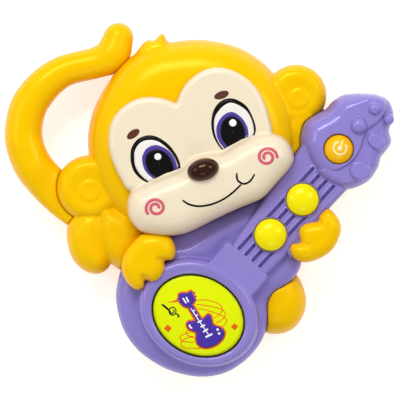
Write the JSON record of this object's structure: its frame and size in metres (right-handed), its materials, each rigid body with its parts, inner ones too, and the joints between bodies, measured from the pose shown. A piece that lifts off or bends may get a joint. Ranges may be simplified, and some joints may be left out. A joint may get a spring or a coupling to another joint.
{
  "type": "musical monkey toy",
  "caption": "Cartoon monkey holding a guitar, a flat-backed battery toy with a tail handle, press buttons and a lift-out battery door.",
  "frame": {"origin": "on the flat back, under the middle of the outline", "axes": "+Z out of the face, +Y to the top of the head, +X towards the headstock of the guitar; the toy lies on its back"},
  "size_m": [0.1945, 0.1774, 0.0544],
  "materials": {
    "yellow_plastic": "smooth glossy injection-moulded plastic",
    "purple_plastic": "smooth satin-gloss injection-moulded plastic",
    "cream_plastic": "smooth glossy plastic with printed eyes, brows, cheeks and mouth",
    "nose_plastic": "glossy dark brown plastic",
    "lime_plastic": "glossy lime plastic",
    "printed_sticker": "glossy printed film with a guitar picture",
    "note_button_plastic": "glossy plastic",
    "orange_plastic": "glossy plastic with a printed power symbol",
    "silicone": "translucent silicone rubber",
    "steel_wire": "nickel-plated spring wire",
    "contact_steel": "nickel-plated strip",
    "circuit_board": "green solder mask",
    "chip_epoxy": "black epoxy",
    "speaker_steel": "pressed zinc-plated steel",
    "speaker_paper": "treated black cone paper",
    "magnet": "sintered ferrite with a steel cap",
    "battery_sleeve": "plain shrink sleeve over a steel can",
    "screw_steel": "zinc-plated steel",
    "lead_red": "red insulation",
    "lead_black": "black insulation"
  },
  "bodies": {
    "root": {"front_shell": "yellow_plastic", "rear_shell": "yellow_plastic", "tail_handle_front": "yellow_plastic", "tail_handle_rear": "yellow_plastic", "left_hand": "yellow_plastic", "right_hand": "yellow_plastic", "guitar_shell": "purple_plastic", "face_plate": "cream_plastic", "nose": "nose_plastic", "dome_note_lower": "silicone", "dome_note_upper": "silicone", "dome_power": "silicone", "dome_melody": "silicone", "melody_spring_1": "steel_wire", "melody_spring_2": "steel_wire", "melody_spring_3": "steel_wire", "battery_spring_1": "steel_wire", "battery_spring_2": "steel_wire", "battery_spring_3": "steel_wire", "contact_low_bridge": "contact_steel", "contact_low_tab": "contact_steel", "contact_high_tab": "contact_steel", "contact_high_bridge": "contact_steel", "melody_board": "circuit_board", "neck_board": "circuit_board", "main_board": "circuit_board", "sound_chip": "chip_epoxy", "speaker_frame": "speaker_steel", "speaker_magnet": "magnet", "battery_1": "battery_sleeve", "battery_2": "battery_sleeve", "battery_3": "battery_sleeve", "tail_screw_1": "screw_steel", "tail_screw_2": "screw_steel", "housing_screw_1": "screw_steel", "housing_screw_2": "screw_steel", "housing_screw_3": "screw_steel", "housing_screw_4": "screw_steel", "housing_screw_5": "screw_steel", "housing_screw_6": "screw_steel", "housing_screw_7": "screw_steel", "face_screw_1": "screw_steel", "face_screw_2": "screw_steel", "face_screw_3": "screw_steel", "guitar_screw_1": "screw_steel", "guitar_screw_2": "screw_steel", "board_screw_1": "screw_steel", "board_screw_2": "screw_steel", "battery_lead_red": "lead_red", "speaker_lead_red": "lead_red", "battery_lead_black": "lead_black", "speaker_lead_black": "lead_black"},
    "melody_button": {"melody_button": "lime_plastic", "melody_sticker": "printed_sticker"},
    "note_button_lower": {"note_button_lower": "note_button_plastic"},
    "note_button_upper": {"note_button_upper": "note_button_plastic"},
    "power_button": {"power_button": "orange_plastic"},
    "battery_door": {"battery_door": "yellow_plastic"},
    "battery_door_screw": {"battery_door_screw": "screw_steel"},
    "speaker_cone": {"speaker_cone": "speaker_paper"}
  },
  "joints": [
    {"name": "melody_press", "type": "slide", "parent": "root", "child": "melody_button", "axis": [0, 0, -1], "range_m": [0, 0.002], "stiffness_N_per_m": 700, "springref_m": -0.0008, "deforming": ["dome_melody", "melody_spring_1", "melody_spring_2", "melody_spring_3"]},
    {"name": "note_lower_press", "type": "slide", "parent": "root", "child": "note_button_lower", "axis": [0, 0, -1], "range_m": [0, 0.002], "stiffness_N_per_m": 400, "springref_m": -0.0008, "deforming": ["dome_note_lower"]},
    {"name": "note_upper_press", "type": "slide", "parent": "root", "child": "note_button_upper", "axis": [0, 0, -1], "range_m": [0, 0.002], "stiffness_N_per_m": 400, "springref_m": -0.0008, "deforming": ["dome_note_upper"]},
    {"name": "power_press", "type": "slide", "parent": "root", "child": "power_button", "axis": [0, 0, -1], "range_m": [0, 0.002], "stiffness_N_per_m": 400, "springref_m": -0.0008, "deforming": ["dome_power"]},
    {"name": "battery_door_hinge", "type": "hinge", "parent": "root", "child": "battery_door", "pos_m": [-0.002, -0.00915, 0], "axis": [1, 0, 0], "range_deg": [0, 100]},
    {"name": "door_screw_turn", "type": "hinge", "parent": "battery_door", "child": "battery_door_screw", "pos_m": [-0.002, -0.0704, 0], "axis": [0, 0, 1], "continuous": true},
    {"name": "cone_travel", "type": "slide", "parent": "root", "child": "speaker_cone", "axis": [0, 0, -1], "range_m": [-0.0004, 0.0004], "stiffness_N_per_m": 900}
  ]
}
